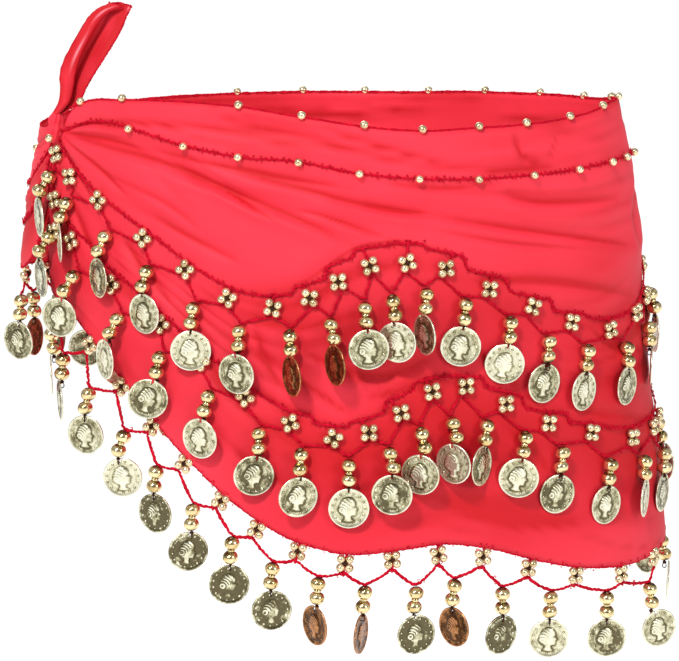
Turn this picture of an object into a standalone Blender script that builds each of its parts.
"""A coin belt: a sheer hip scarf knotted at the left hip, with crochet edgings and coin fringes.

The origin is the middle of the waist opening. The front faces -Y, +Z is up.
An angle of 0 is the right hip, 90 the front, 180 the left hip and -90 the back.
"""
import bisect
import math
from collections import namedtuple

import bmesh
import bpy
from mathutils import Vector

MM = 0.001

# Driving sizes, in metres
CLOTH = 1.4 * MM
CLEAR = 0.35 * MM
COLUMNS = 64
BEAD = 7.5 * MM
BEAD_STEP = 7.6 * MM
COIN = 22.0 * MM
COIN_THICK = 1.0 * MM
COIN_BELOW_BEAD = 14.4 * MM
THREAD = 1.5 * MM
EDGING = 2.2 * MM
FLOWER = 8.0 * MM
FLOWER_CLEAR = 0.8 * MM
STRAND_STEP = 26.0 * MM

# Shares and offsets that follow from the driving sizes
EDGING_RISE = EDGING * 0.7
EDGING_OVERHANG = 0.2 * MM
FLOWER_HALF = FLOWER * 0.45
THREAD_HALF = THREAD * 0.6
BEAD_HALF = BEAD * 0.44
BEAD_NECK = BEAD * 0.2
NET_ABOVE_BEAD = BEAD * 0.62
BEAD_OUT = 5.2 * MM
COIN_OUT = 4.6 * MM
COIN_REACH = COIN * 0.51
COIN_CORNERS = tuple(math.radians(degrees) for degrees in (22.5, 67.5, 112.5, 157.5))
NET_DEPTH = 0.75
LINE_STEP = 0.12

# The form that the scarf is worn on: half the width of the hips at each height, in mm
Level = namedtuple("Level", "height half_width")
HIPS = (
    Level(30, 146.0),
    Level(0, 151.0),
    Level(-30, 157.7),
    Level(-72, 163.0),
    Level(-130, 166.4),
    Level(-192, 170.7),
    Level(-260, 176.0),
    Level(-320, 178.0),
)
DEPTH_TO_WIDTH = 0.67
SQUARENESS = 1.75

# Sections of the cloth from the front end at the knot, round the hips, to the back end.
# top and hem are the angles of the section's two ends, in degrees.
# waist, upper, one, two and edge are the heights of the five edging lines, in mm.
# drop_one, drop_two and drop_edge are how far the first bead hangs below its line, in mm.
Section = namedtuple("Section", "top hem waist upper one two edge drop_one drop_two drop_edge")
SECTIONS = (
    Section(156.2, 156.2, -8.0, -9.5, -13.0, -17.0, -21.0, 10, 12, 14),
    Section(154.0, 156.4, 0.0, -8.5, -17.0, -31.0, -45.0, 13, 15, 16),
    Section(150.5, 155.8, 5.0, -5.5, -21.0, -45.0, -70.0, 16, 19, 18),
    Section(145.5, 153.3, 8.0, -3.0, -26.5, -52.0, -90.0, 17, 21, 20),
    Section(139.5, 147.0, 9.0, -2.5, -35.5, -59.5, -100.0, 16, 20, 23),
    Section(132.0, 138.5, 10.0, -5.0, -46.0, -73.5, -116.0, 16, 20, 24),
    Section(124.0, 129.0, 10.5, -9.5, -57.5, -88.0, -138.0, 17, 21, 25),
    Section(116.0, 119.0, 10.0, -13.0, -71.5, -107.0, -163.7, 19, 20, 23),
    Section(108.0, 109.5, 8.5, -15.5, -81.5, -125.5, -186.5, 20, 20, 21),
    Section(100.0, 100.0, 5.7, -16.0, -82.0, -139.0, -202.5, 21, 19, 20),
    Section(92.0, 92.0, 3.3, -18.7, -71.5, -146.0, -209.0, 27, 19, 19),
    Section(84.0, 84.0, 0.9, -21.8, -60.5, -146.5, -211.5, 29, 21, 20),
    Section(76.0, 76.0, -1.5, -24.4, -57.0, -133.5, -210.0, 29, 25, 23),
    Section(68.0, 68.0, -2.8, -26.0, -60.5, -124.0, -208.5, 24, 25, 22),
    Section(60.0, 60.0, -2.5, -27.0, -72.5, -128.5, -213.0, 22, 22, 22),
    Section(50.0, 50.0, -2.5, -27.0, -87.0, -144.0, -223.0, 20, 19, 19),
    Section(40.0, 40.0, -1.8, -27.0, -99.0, -154.5, -230.5, 18, 19, 18),
    Section(28.0, 28.0, 0.0, -26.0, -105.5, -162.5, -234.5, 17, 20, 18),
    Section(14.0, 14.0, 3.0, -25.0, -101.5, -163.5, -233.0, 16, 20, 19),
    Section(0.0, 0.0, 3.5, -25.0, -87.0, -159.5, -228.0, 16, 21, 20),
    Section(-11.0, -11.0, 1.0, -26.0, -75.0, -148.0, -215.0, 20, 23, 21),
    Section(-21.0, -21.0, -1.0, -27.0, -68.0, -139.0, -205.0, 24, 24, 22),
    Section(-33.0, -33.0, -1.5, -28.0, -76.0, -147.0, -208.0, 24, 22, 21),
    Section(-45.0, -45.0, -2.5, -29.0, -92.0, -157.0, -213.0, 20, 20, 20),
    Section(-58.0, -58.0, -3.5, -30.0, -101.0, -158.0, -210.0, 18, 20, 20),
    Section(-70.0, -70.0, -5.0, -30.0, -98.0, -152.0, -208.0, 18, 20, 21),
    Section(-83.0, -83.0, -5.5, -30.0, -84.0, -141.0, -212.0, 21, 22, 21),
    Section(-96.0, -96.0, -5.5, -30.0, -74.0, -134.0, -208.0, 24, 24, 22),
    Section(-107.0, -107.0, -5.5, -29.0, -72.0, -128.0, -191.0, 22, 22, 22),
    Section(-118.0, -118.0, -5.5, -28.0, -73.0, -117.0, -163.0, 18, 20, 23),
    Section(-129.0, -129.0, -5.5, -27.0, -66.0, -98.0, -131.0, 17, 20, 24),
    Section(-140.0, -140.0, -6.0, -25.0, -54.0, -80.0, -106.0, 16, 20, 23),
    Section(-151.0, -151.0, -7.0, -24.0, -47.0, -69.0, -93.0, 16, 19, 21),
    Section(-162.0, -162.0, -9.0, -24.0, -44.0, -66.0, -88.0, 16, 19, 20),
    Section(-174.0, -174.0, -10.5, -24.0, -43.0, -64.0, -86.0, 16, 19, 19),
    Section(-184.0, -184.0, -11.0, -22.0, -40.0, -61.0, -85.0, 15, 19, 19),
    Section(-190.0, -191.0, -11.0, -20.0, -35.0, -56.0, -82.0, 14, 18, 18),
    Section(-194.5, -196.0, -10.5, -17.0, -28.0, -46.0, -71.0, 13, 16, 17),
    Section(-197.5, -198.6, -9.5, -13.5, -20.0, -31.0, -48.0, 12, 14, 15),
    Section(-198.9, -198.9, -8.0, -9.5, -13.0, -17.0, -21.0, 10, 12, 14),
)
LINES = ("waist", "upper", "one", "two", "edge")
DROPS = {"one": "drop_one", "two": "drop_two", "edge": "drop_edge"}

# The line's share of the way from a section's top angle to its hem angle
LEAN = {"waist": 0.0, "upper": 0.1, "one": 0.4, "two": 0.7, "edge": 1.0}

# Rows of faces in the wall between one edging line and the next
ROWS_BETWEEN = (1, 3, 3, 3)

# Long soft folds: a line position counts 0 at the waist, 1 at the upper edging, and so on
Fold = namedtuple("Fold", "first_section last_section first_line last_line depth width")
FOLDS = (
    Fold(1, 12, 1.10, 1.35, -2.0, 9),
    Fold(1, 9, 1.45, 1.70, 1.6, 10),
    Fold(2, 10, 2.35, 2.55, -1.8, 12),
    Fold(3, 11, 3.35, 3.55, 1.7, 14),
    Fold(9, 18, 1.60, 1.40, -1.8, 10),
    Fold(12, 19, 2.45, 2.60, 1.6, 12),
    Fold(14, 20, 1.75, 1.60, 1.5, 10),
    Fold(10, 18, 3.55, 3.40, -1.6, 14),
    Fold(21, 30, 1.35, 1.55, -1.8, 11),
    Fold(22, 31, 2.50, 2.40, 1.6, 13),
    Fold(24, 33, 3.50, 3.45, -1.5, 14),
    Fold(28, 38, 1.40, 1.30, -1.6, 9),
)

# Coin strands that hang on the front and the right side.
# angle is where the strand leaves its net, turn is how far its coin has spun about the
# strand (0 faces the front, positive faces +X), lift is extra room under the coin in mm.
Strand = namedtuple("Strand", "angle turn lift")
FRONT_STRANDS = {
    "one": (
        Strand(152.5, -73, 0),
        Strand(145.5, -80, 0),
        Strand(136.4, -62, 0),
        Strand(126.5, -41, 0),
        Strand(117.3, 0, 0),
        Strand(108.6, -30, 0),
        Strand(98.9, 64, 0),
        Strand(90.0, -62, 0),
        Strand(82.3, 6, 6),
        Strand(76.9, -24, 0),
        Strand(70.7, -55, 0),
        Strand(63.5, 5, 0),
        Strand(54.7, 8, 0),
        Strand(46.7, 36, 0),
        Strand(36.9, 50, 0),
        Strand(24.2, 58, 0),
        Strand(8.2, 86, 0),
        Strand(-5.0, 96, 0),
    ),
    "two": (
        Strand(152.0, -68, 0),
        Strand(143.5, -28, 0),
        Strand(132.7, -62, 0),
        Strand(123.7, -5, 0),
        Strand(114.2, -32, 0),
        Strand(104.7, 8, 0),
        Strand(96.8, 20, 0),
        Strand(86.2, 0, 0),
        Strand(77.6, -6, 5),
        Strand(71.7, -24, 0),
        Strand(66.0, -35, 0),
        Strand(59.9, 60, 0),
        Strand(52.4, 2, 0),
        Strand(44.3, 28, 0),
        Strand(31.9, 40, 0),
        Strand(17.9, 74, 0),
        Strand(1.0, 66, 0),
    ),
    "edge": (
        Strand(151.0, -85, 0),
        Strand(145.4, -78, 0),
        Strand(138.8, -24, 0),
        Strand(130.6, -8, 0),
        Strand(123.3, -34, 0),
        Strand(116.7, 14, 0),
        Strand(109.5, 4, 0),
        Strand(101.9, 10, 0),
        Strand(93.4, 54, 0),
        Strand(82.8, 70, 0),
        Strand(73.7, 22, 0),
        Strand(66.4, -46, 0),
        Strand(57.7, 38, 0),
        Strand(48.2, 4, 0),
        Strand(34.8, 8, 0),
        Strand(19.3, 26, 0),
        Strand(2.0, 86, 0),
    ),
}

# Where the evenly spaced strands of the hidden sides begin and end, in degrees
BACK_STRANDS = {"one": (-17.0, -126.0), "two": (-12.0, -124.0), "edge": (-10.0, -190.0)}
BACK_TURNS = (8, -35, 14, 42, -6, -58, 20, 2, 50, -24)

# The raised tie end: height, left and right edge, and how far its middle is hollowed, in mm
TieSection = namedtuple("TieSection", "height left right depth hollow")
TIE_SECTIONS = (
    TieSection(-1.45, -143.2, -137.5, -32.6, 0.6),
    TieSection(5.0, -139.8, -129.6, -30.0, 2.5),
    TieSection(12.6, -139.0, -125.6, -29.0, 3.5),
    TieSection(19.0, -139.2, -121.9, -28.0, 4.5),
    TieSection(27.0, -136.7, -116.7, -27.0, 5.0),
    TieSection(35.0, -132.3, -111.5, -26.0, 5.0),
    TieSection(43.5, -127.9, -107.4, -25.0, 4.5),
    TieSection(49.7, -124.4, -105.2, -24.5, 4.0),
    TieSection(54.5, -120.3, -103.6, -24.0, 3.0),
    TieSection(57.4, -114.7, -104.4, -24.0, 2.0),
)
TIE_POINTS = 7
TIE_CROWN = 1.5
TIE_CROWN_ABOVE = 50

# The knot, in metres
KNOT_ANGLE = 158.65
KNOT_HEIGHT = -12.2 * MM
KNOT_OUT = 2.0 * MM
KNOT_HALF = Vector((4.3 * MM, 6.5 * MM, 10.4 * MM))
KNOT_FOLDS = 3
KNOT_FOLD_DEPTH = 0.12
KNOT_SPIRAL = 4

# Finishes: colour, roughness, metallic
FINISHES = {
    "chiffon": ((0.93, 0.045, 0.085, 1.0), 0.7, 0.0),
    "crochet": ((0.55, 0.01, 0.035, 1.0), 0.8, 0.0),
    "gilt": ((0.83, 0.68, 0.36, 1.0), 0.25, 1.0),
}


def clear_scene():
    for item in list(bpy.data.objects):
        bpy.data.objects.remove(item, do_unlink=True)


def finish(name):
    material = bpy.data.materials.get(name)
    if material:
        return material
    colour, roughness, metallic = FINISHES[name]
    material = bpy.data.materials.new(name)
    material.use_nodes = True
    shader = material.node_tree.nodes["Principled BSDF"]
    shader.inputs["Base Color"].default_value = colour
    shader.inputs["Roughness"].default_value = roughness
    shader.inputs["Metallic"].default_value = metallic
    return material


def place(name, mesh, finish_name):
    """Make the finished mesh into one closed, outward facing object."""
    bmesh.ops.recalc_face_normals(mesh, faces=mesh.faces)
    if mesh.calc_volume(signed=True) < 0:
        bmesh.ops.reverse_faces(mesh, faces=mesh.faces)
    data = bpy.data.meshes.new(name)
    mesh.to_mesh(data)
    mesh.free()
    data.materials.append(finish(finish_name))
    item = bpy.data.objects.new(name, data)
    bpy.context.scene.collection.objects.link(item)
    return item


def through(values, position):
    """Read a smooth curve through evenly numbered values."""
    last = len(values) - 1
    position = min(max(position, 0.0), float(last))
    index = min(int(position), last - 1)
    part = position - index
    before = values[max(index - 1, 0)]
    start = values[index]
    end = values[index + 1]
    after = values[min(index + 2, last)]
    slope_start = (end - before) / 2
    slope_end = (after - start) / 2
    square = part * part
    cube = square * part
    return (
        (2 * cube - 3 * square + 1) * start
        + (cube - 2 * square + part) * slope_start
        + (3 * square - 2 * cube) * end
        + (cube - square) * slope_end
    )


COLUMN_VALUES = {key: [getattr(row, key) for row in SECTIONS] for key in Section._fields}


def section_value(key, position):
    return through(COLUMN_VALUES[key], position)


def half_width(height):
    """Half the width of the hips at a height, in metres."""
    millimetres = height / MM
    for upper, lower in zip(HIPS, HIPS[1:]):
        if millimetres >= lower.height:
            break
    share = (upper.height - millimetres) / (upper.height - lower.height)
    share = min(max(share, 0.0), 1.0)
    return (upper.half_width + share * (lower.half_width - upper.half_width)) * MM


def hip_point(angle, height, out=0.0):
    """A point on the hip form, moved out from it."""
    cosine = math.cos(math.radians(angle))
    sine = math.sin(math.radians(angle))
    power = 2 / SQUARENESS
    across = (half_width(height) + out) * math.copysign(abs(cosine) ** power, cosine)
    deep = (half_width(height) * DEPTH_TO_WIDTH + out) * math.copysign(abs(sine) ** power, sine)
    return Vector((across, -deep, height))


def line_value(kind, position, line):
    """Read the angle or height at a line position between two edging lines."""
    index = min(int(line), len(LINES) - 2)
    part = line - index
    pair = []
    for name in (LINES[index], LINES[index + 1]):
        if kind == "height":
            pair.append(section_value(name, position) * MM)
        else:
            top = section_value("top", position)
            hem = section_value("hem", position)
            pair.append(top + LEAN[name] * (hem - top))
    return pair[0] + part * (pair[1] - pair[0])


def fold_depth(position, line):
    """How far the folds move the cloth out at a place, in metres."""
    total = 0.0
    height = line_value("height", position, line)
    for fold in FOLDS:
        length = fold.last_section - fold.first_section
        share = (position - fold.first_section) / length
        if not 0.0 < share < 1.0:
            continue
        fold_line = fold.first_line + share * (fold.last_line - fold.first_line)
        away = (height - line_value("height", position, fold_line)) / (fold.width * MM)
        total += fold.depth * MM * math.sin(math.pi * share) * math.exp(-away * away)
    return total


def even_positions(count):
    """Section positions that lie evenly along the middle of the cloth."""
    fine = 1200
    last = len(SECTIONS) - 1
    places = [last * step / fine for step in range(fine + 1)]
    middle = len(LINES) / 2
    spots = [
        hip_point(line_value("angle", place, middle), line_value("height", place, middle))
        for place in places
    ]
    lengths = [0.0]
    for before, after in zip(spots, spots[1:]):
        lengths.append(lengths[-1] + (after - before).length)
    positions = []
    index = 0
    for column in range(count + 1):
        target = lengths[-1] * column / count
        while index < fine - 1 and lengths[index + 1] < target:
            index += 1
        gap = lengths[index + 1] - lengths[index]
        share = (target - lengths[index]) / gap
        positions.append(places[index] + share * (places[index + 1] - places[index]))
    return positions


def wall_lines():
    """The line positions of the wall's rows of points, with every edging line among them."""
    lines = [0.0]
    for index, rows in enumerate(ROWS_BETWEEN):
        lines += [index + (row + 1) / rows for row in range(rows)]
    return lines


# The wall's columns and rows of points, and the depth of the folds at each of them
WALL_COLUMNS = even_positions(COLUMNS)
WALL_ROWS = wall_lines()
WALL_FOLDS = [[fold_depth(column, row) for row in WALL_ROWS] for column in WALL_COLUMNS]


def between(values, value):
    """The index and share of a value between two steps of a rising list."""
    index = min(max(bisect.bisect_right(values, value) - 1, 0), len(values) - 2)
    share = (value - values[index]) / (values[index + 1] - values[index])
    return index, min(max(share, 0.0), 1.0)


def fold_out(position, line):
    """The folds as the wall's flat faces have them."""
    column, across = between(WALL_COLUMNS, position)
    row, down = between(WALL_ROWS, line)
    upper = WALL_FOLDS[column][row] * (1 - across) + WALL_FOLDS[column + 1][row] * across
    lower = WALL_FOLDS[column][row + 1] * (1 - across) + WALL_FOLDS[column + 1][row + 1] * across
    return upper * (1 - down) + lower * down


def cloth_point(position, line, out=0.0, below=0.0):
    """A point of the cloth's outer face on an edging line, moved out and down from it."""
    angle = line_value("angle", position, line)
    height = line_value("height", position, line) - below
    return hip_point(angle, height, out + fold_out(position, line))


def position_at(line, angle):
    """The section position where a line passes an angle."""
    low = 0.0
    high = float(len(SECTIONS) - 1)
    for _ in range(40):
        middle = (low + high) / 2
        if line_value("angle", middle, line) > angle:
            low = middle
        else:
            high = middle
    return (low + high) / 2


def line_at(position, height):
    """The line position that a section has at a height."""
    heights = [section_value(name, position) * MM for name in LINES]
    for index, (upper, lower) in enumerate(zip(heights, heights[1:])):
        if height >= lower:
            break
    return min(max(index + (upper - height) / (upper - lower), 0.0), float(len(LINES) - 1))


def cloth_at(angle, height, out=0.0):
    """A point of the cloth's outer face at an angle and a height, moved out from it."""
    line = 2.0
    for _ in range(4):
        position = position_at(line, angle)
        line = line_at(position, height)
    return hip_point(angle, height, out + fold_out(position, line))


def angle_of(point):
    """The angle round the hips at which a point lies."""
    width = half_width(point.z)
    across = abs(point.x / width) ** (SQUARENESS / 2)
    deep = abs(point.y / (width * DEPTH_TO_WIDTH)) ** (SQUARENESS / 2)
    angle = math.degrees(math.atan2(math.copysign(deep, -point.y), math.copysign(across, point.x)))
    return angle - 360 if angle > KNOT_ANGLE else angle


def onto_cloth(point, out):
    """The place on the cloth that lies behind a point, moved out from it."""
    return cloth_at(angle_of(point), point.z, out)


def face(mesh, corners):
    mesh.faces.new(corners)


def bridge(mesh, ring_a, ring_b):
    """Join two rings of the same number of corners by a band of faces."""
    count = len(ring_a)
    for index in range(count):
        following = (index + 1) % count
        face(mesh, (ring_a[index], ring_a[following], ring_b[following], ring_b[index]))


def shell(name, outer, inner, finish_name):
    """A wall between two grids of points of the same size."""
    mesh = bmesh.new()
    rings = []
    for outer_column, inner_column in zip(outer, inner):
        loop = list(outer_column) + list(reversed(inner_column))
        rings.append([mesh.verts.new(point) for point in loop])
    for ring_a, ring_b in zip(rings, rings[1:]):
        bridge(mesh, ring_a, ring_b)
    for ring in (rings[0], rings[-1]):
        half = len(ring) // 2
        for index in range(half - 1):
            face(mesh, (ring[index], ring[index + 1], ring[-2 - index], ring[-1 - index]))
    return place(name, mesh, finish_name)


def make_hip_cloth():
    outer = [[cloth_point(column, row) for row in WALL_ROWS] for column in WALL_COLUMNS]
    inner = [[cloth_point(column, row, -CLOTH) for row in WALL_ROWS] for column in WALL_COLUMNS]
    return shell("hip_cloth", outer, inner, "chiffon")


def make_edging(name, line):
    """A crochet cord of three sides that lies on the cloth, or along one of its two edges."""
    mesh = bmesh.new()
    rings = []
    for position in WALL_COLUMNS[1:-1]:
        if line == 0:
            spots = ((-CLOTH - EDGING_OVERHANG, -CLEAR), (EDGING_OVERHANG, -CLEAR), (-CLOTH / 2, -EDGING))
        elif line == len(LINES) - 1:
            spots = ((-CLOTH - EDGING_OVERHANG, CLEAR), (EDGING_OVERHANG, CLEAR), (-CLOTH / 2, EDGING))
        else:
            spots = ((CLEAR, -EDGING / 2), (CLEAR, EDGING / 2), (CLEAR + EDGING_RISE, 0.0))
        ring = [mesh.verts.new(cloth_point(position, line, *spot)) for spot in spots]
        rings.append(ring)
    for ring_a, ring_b in zip(rings, rings[1:]):
        bridge(mesh, ring_a, ring_b)
    for ring in (rings[0], rings[-1]):
        face(mesh, ring)
    return place(name, mesh, "crochet")


def row_strands(row):
    """Every strand of a row, from the knot round the front, right side and back."""
    line = LINES.index(row)
    strands = list(FRONT_STRANDS[row])
    first, last = BACK_STRANDS[row]
    angle = first
    count = 0
    while angle > last:
        turn = outward_turn(angle) + BACK_TURNS[count % len(BACK_TURNS)]
        strands.append(Strand(angle, turn, 0))
        spot = cloth_point(position_at(line, angle), line)
        near = cloth_point(position_at(line, angle - 1), line)
        angle -= STRAND_STEP / (near - spot).length
        count += 1
    return strands


def outward_turn(angle):
    """The turn at which a coin lies flat on the hips at an angle."""
    width = half_width(-0.1)
    depth = width * DEPTH_TO_WIDTH
    power = 2 - 2 / SQUARENESS
    cosine = math.cos(math.radians(angle))
    sine = math.sin(math.radians(angle))
    outward_x = math.copysign(abs(cosine) ** power, cosine) / width
    outward_y = math.copysign(abs(sine) ** power, sine) / depth
    return math.degrees(math.atan2(outward_x, outward_y))


def frame_at(angle):
    """The directions along the hips, out of them and up at an angle."""
    turn = math.radians(outward_turn(angle))
    out = Vector((math.sin(turn), -math.cos(turn), 0.0))
    along = Vector((math.cos(turn), math.sin(turn), 0.0))
    return along, out, Vector((0.0, 0.0, 1.0))


def line_frame(line, position):
    """The directions along an edging line, out of the cloth and up across the line."""
    along = cloth_point(position + LINE_STEP, line) - cloth_point(position - LINE_STEP, line)
    along.normalize()
    _, out, _ = frame_at(line_value("angle", position, line))
    up = out.cross(along)
    up.normalize()
    if up.z < 0:
        up.negate()
    return along, out, up


def nearest_position(row, angle):
    """The section position of a row's line that lies nearest to the net below an angle."""
    line = LINES.index(row)
    middle = position_at(line, angle)
    height = line_value("height", middle, line)
    net = hip_point(angle, height - section_value(DROPS[row], middle) * MM * NET_DEPTH)
    steps = [middle + step / 40 for step in range(-80, 81)]
    return min(steps, key=lambda step: (cloth_point(step, line) - net).length)


def block(mesh, centre, frame, half):
    """Eight corners round a centre, keyed by their signs along, out and up."""
    along, out, up = frame
    corners = {}
    for a in (-1, 1):
        for o in (-1, 1):
            for u in (-1, 1):
                offset = along * (a * half.x) + out * (o * half.y) + up * (u * half.z)
                corners[(a, o, u)] = mesh.verts.new(centre + offset)
    return corners


def side(corners, sign):
    """The four corners of a block's face along the row."""
    return [corners[(sign, 1, 1)], corners[(sign, 1, -1)], corners[(sign, -1, -1)], corners[(sign, -1, 1)]]


def level_face(corners, sign):
    """The four corners of a block's top or bottom face."""
    return [corners[(-1, 1, sign)], corners[(1, 1, sign)], corners[(1, -1, sign)], corners[(-1, -1, sign)]]


def close_block(mesh, corners, open_level):
    """Give a block its front and back face, and the level face that nothing grows from."""
    for o in (-1, 1):
        face(mesh, (corners[(-1, o, -1)], corners[(1, o, -1)], corners[(1, o, 1)], corners[(-1, o, 1)]))
    face(mesh, level_face(corners, -open_level))


def level_ring(mesh, centre, frame, turn, half_along, half_out):
    """Four corners in a level plane, spun by a turn in degrees."""
    along, out, _ = frame
    cosine = math.cos(math.radians(turn))
    sine = math.sin(math.radians(turn))
    spun_along = along * cosine - out * sine
    spun_out = out * cosine + along * sine
    signs = ((-1, 1), (1, 1), (1, -1), (-1, -1))
    return [
        mesh.verts.new(centre + spun_along * (a * half_along) + spun_out * (o * half_out))
        for a, o in signs
    ]


def strand_rings(row, strand):
    """The level rings of a strand: centre, spin and half sizes, from the first bead down."""
    line = LINES.index(row)
    position = position_at(line, strand.angle)
    drop = section_value(DROPS[row], position) * MM
    free = row == "edge"
    relative = (strand.turn - outward_turn(strand.angle) + 90) % 180 - 90
    reach = math.sin(math.radians(abs(relative)))
    bead_out = -CLOTH / 2 if free else BEAD_OUT
    coin_out = bead_out if free else COIN_OUT + COIN_REACH * reach + strand.lift * MM
    if abs(relative) > 45:
        spin = relative - math.copysign(90, relative)
        sizes = (COIN_THICK / 2, 1.0)
    else:
        spin = relative
        sizes = (1.0, COIN_THICK / 2)
    height = line_value("height", position, line)

    def centre(below, out):
        return cloth_at(strand.angle, height - below, out)

    bead_two = drop + BEAD_STEP
    coin = bead_two + COIN_BELOW_BEAD
    rings = [
        (centre(drop, bead_out), 0.0, BEAD_HALF, BEAD_HALF),
        (centre(drop + BEAD_STEP / 2, bead_out), 0.0, BEAD_NECK, BEAD_NECK),
        (centre(bead_two, (bead_out * 2 + coin_out) / 3), 0.0, BEAD_HALF, BEAD_HALF),
    ]
    for corner in COIN_CORNERS:
        below = coin - COIN / 2 * math.cos(corner)
        half = COIN / 2 * math.sin(corner)
        half_along = half if sizes[0] == 1.0 else sizes[0]
        half_out = half if sizes[1] == 1.0 else sizes[1]
        rings.append((centre(below, coin_out), spin, half_along, half_out))
    return rings


def make_fringe(name, row):
    """One row's net of thread, with its flowers, and the bead and coin strands below it."""
    line = LINES.index(row)
    free = row == "edge"
    out = -CLOTH / 2 if free else THREAD / 2 + 2 * CLEAR
    strands = row_strands(row)
    mesh = bmesh.new()
    half_thread = Vector((THREAD_HALF, THREAD / 2, THREAD / 2))
    top_gap = (EDGING if free else EDGING / 2) + FLOWER_CLEAR
    flower_below = top_gap + FLOWER + THREAD / 2

    def valley(strand):
        position = position_at(line, strand.angle)
        drop = section_value(DROPS[row], position) * MM
        height = line_value("height", position, line) - drop + NET_ABOVE_BEAD
        spot = cloth_at(strand.angle, height, out)
        corners = block(mesh, spot, frame_at(strand.angle), half_thread)
        close_block(mesh, corners, -1)
        ring = level_face(corners, -1)
        for centre, spin, half_along, half_out in strand_rings(row, strand):
            following = level_ring(mesh, centre, frame_at(strand.angle), spin, half_along, half_out)
            bridge(mesh, ring, following)
            ring = following
        face(mesh, ring)
        return corners

    def peak(angle):
        position = nearest_position(row, angle)
        frame = line_frame(line, position)
        start = cloth_point(position, line, out)
        low = onto_cloth(start - frame[2] * flower_below, out)
        corners = block(mesh, low, frame, half_thread)
        close_block(mesh, corners, 1)
        top = onto_cloth(start - frame[2] * top_gap, out)
        ring = level_ring(mesh, top, frame, 0.0, FLOWER_HALF, THREAD_HALF)
        bridge(mesh, level_face(corners, 1), ring)
        face(mesh, ring)
        return corners

    previous = valley(strands[0])
    face(mesh, side(previous, -1))
    for before, after in zip(strands, strands[1:]):
        crown = peak((before.angle + after.angle) / 2)
        following = valley(after)
        bridge(mesh, side(previous, 1), side(crown, -1))
        bridge(mesh, side(crown, 1), side(following, -1))
        previous = following
    face(mesh, side(previous, 1))
    return place(name, mesh, "gilt")


def make_knot():
    """The tied knot, a small rounded lump between the two ends of the cloth."""
    mesh = bmesh.new()
    bmesh.ops.create_uvsphere(mesh, u_segments=12, v_segments=8, radius=1.0)
    along, out, up = frame_at(KNOT_ANGLE)
    centre = hip_point(KNOT_ANGLE, KNOT_HEIGHT, KNOT_OUT)
    for vertex in mesh.verts:
        local = vertex.co
        turn = KNOT_FOLDS * math.atan2(local.y, local.x) + KNOT_SPIRAL * local.z
        twist = 1 + KNOT_FOLD_DEPTH * math.sin(turn)
        vertex.co = (
            centre
            + along * (local.x * KNOT_HALF.x)
            + out * (local.y * KNOT_HALF.y * twist)
            + up * (local.z * KNOT_HALF.z)
        )
    return place("knot", mesh, "chiffon")


def make_tie_end():
    """The tie end that stands up from the knot, hollowed along its middle with rolled edges."""
    outer = []
    inner = []
    for row in TIE_SECTIONS:
        near = []
        far = []
        for index in range(TIE_POINTS):
            share = index / (TIE_POINTS - 1)
            across = row.left + share * (row.right - row.left)
            hollow = -row.hollow * math.cos(2 * math.pi * share)
            rise = TIE_CROWN * math.sin(math.pi * share) if row.height > TIE_CROWN_ABOVE else 0.0
            spot = Vector((across, row.depth + hollow, row.height + rise)) * MM
            near.append(spot - Vector((0.0, CLOTH / 2, 0.0)))
            far.append(spot + Vector((0.0, CLOTH / 2, 0.0)))
        outer.append(near)
        inner.append(far)
    return shell("raised_tie_end", outer, inner, "chiffon")


def main():
    clear_scene()
    make_hip_cloth()
    make_knot()
    make_tie_end()
    make_edging("waist_edging", 0)
    make_edging("upper_edging", 1)
    make_edging("row_one_edging", 2)
    make_edging("row_two_edging", 3)
    make_edging("hem_edging", 4)
    make_fringe("row_one_fringe", "one")
    make_fringe("row_two_fringe", "two")
    make_fringe("hem_fringe", "edge")


main()
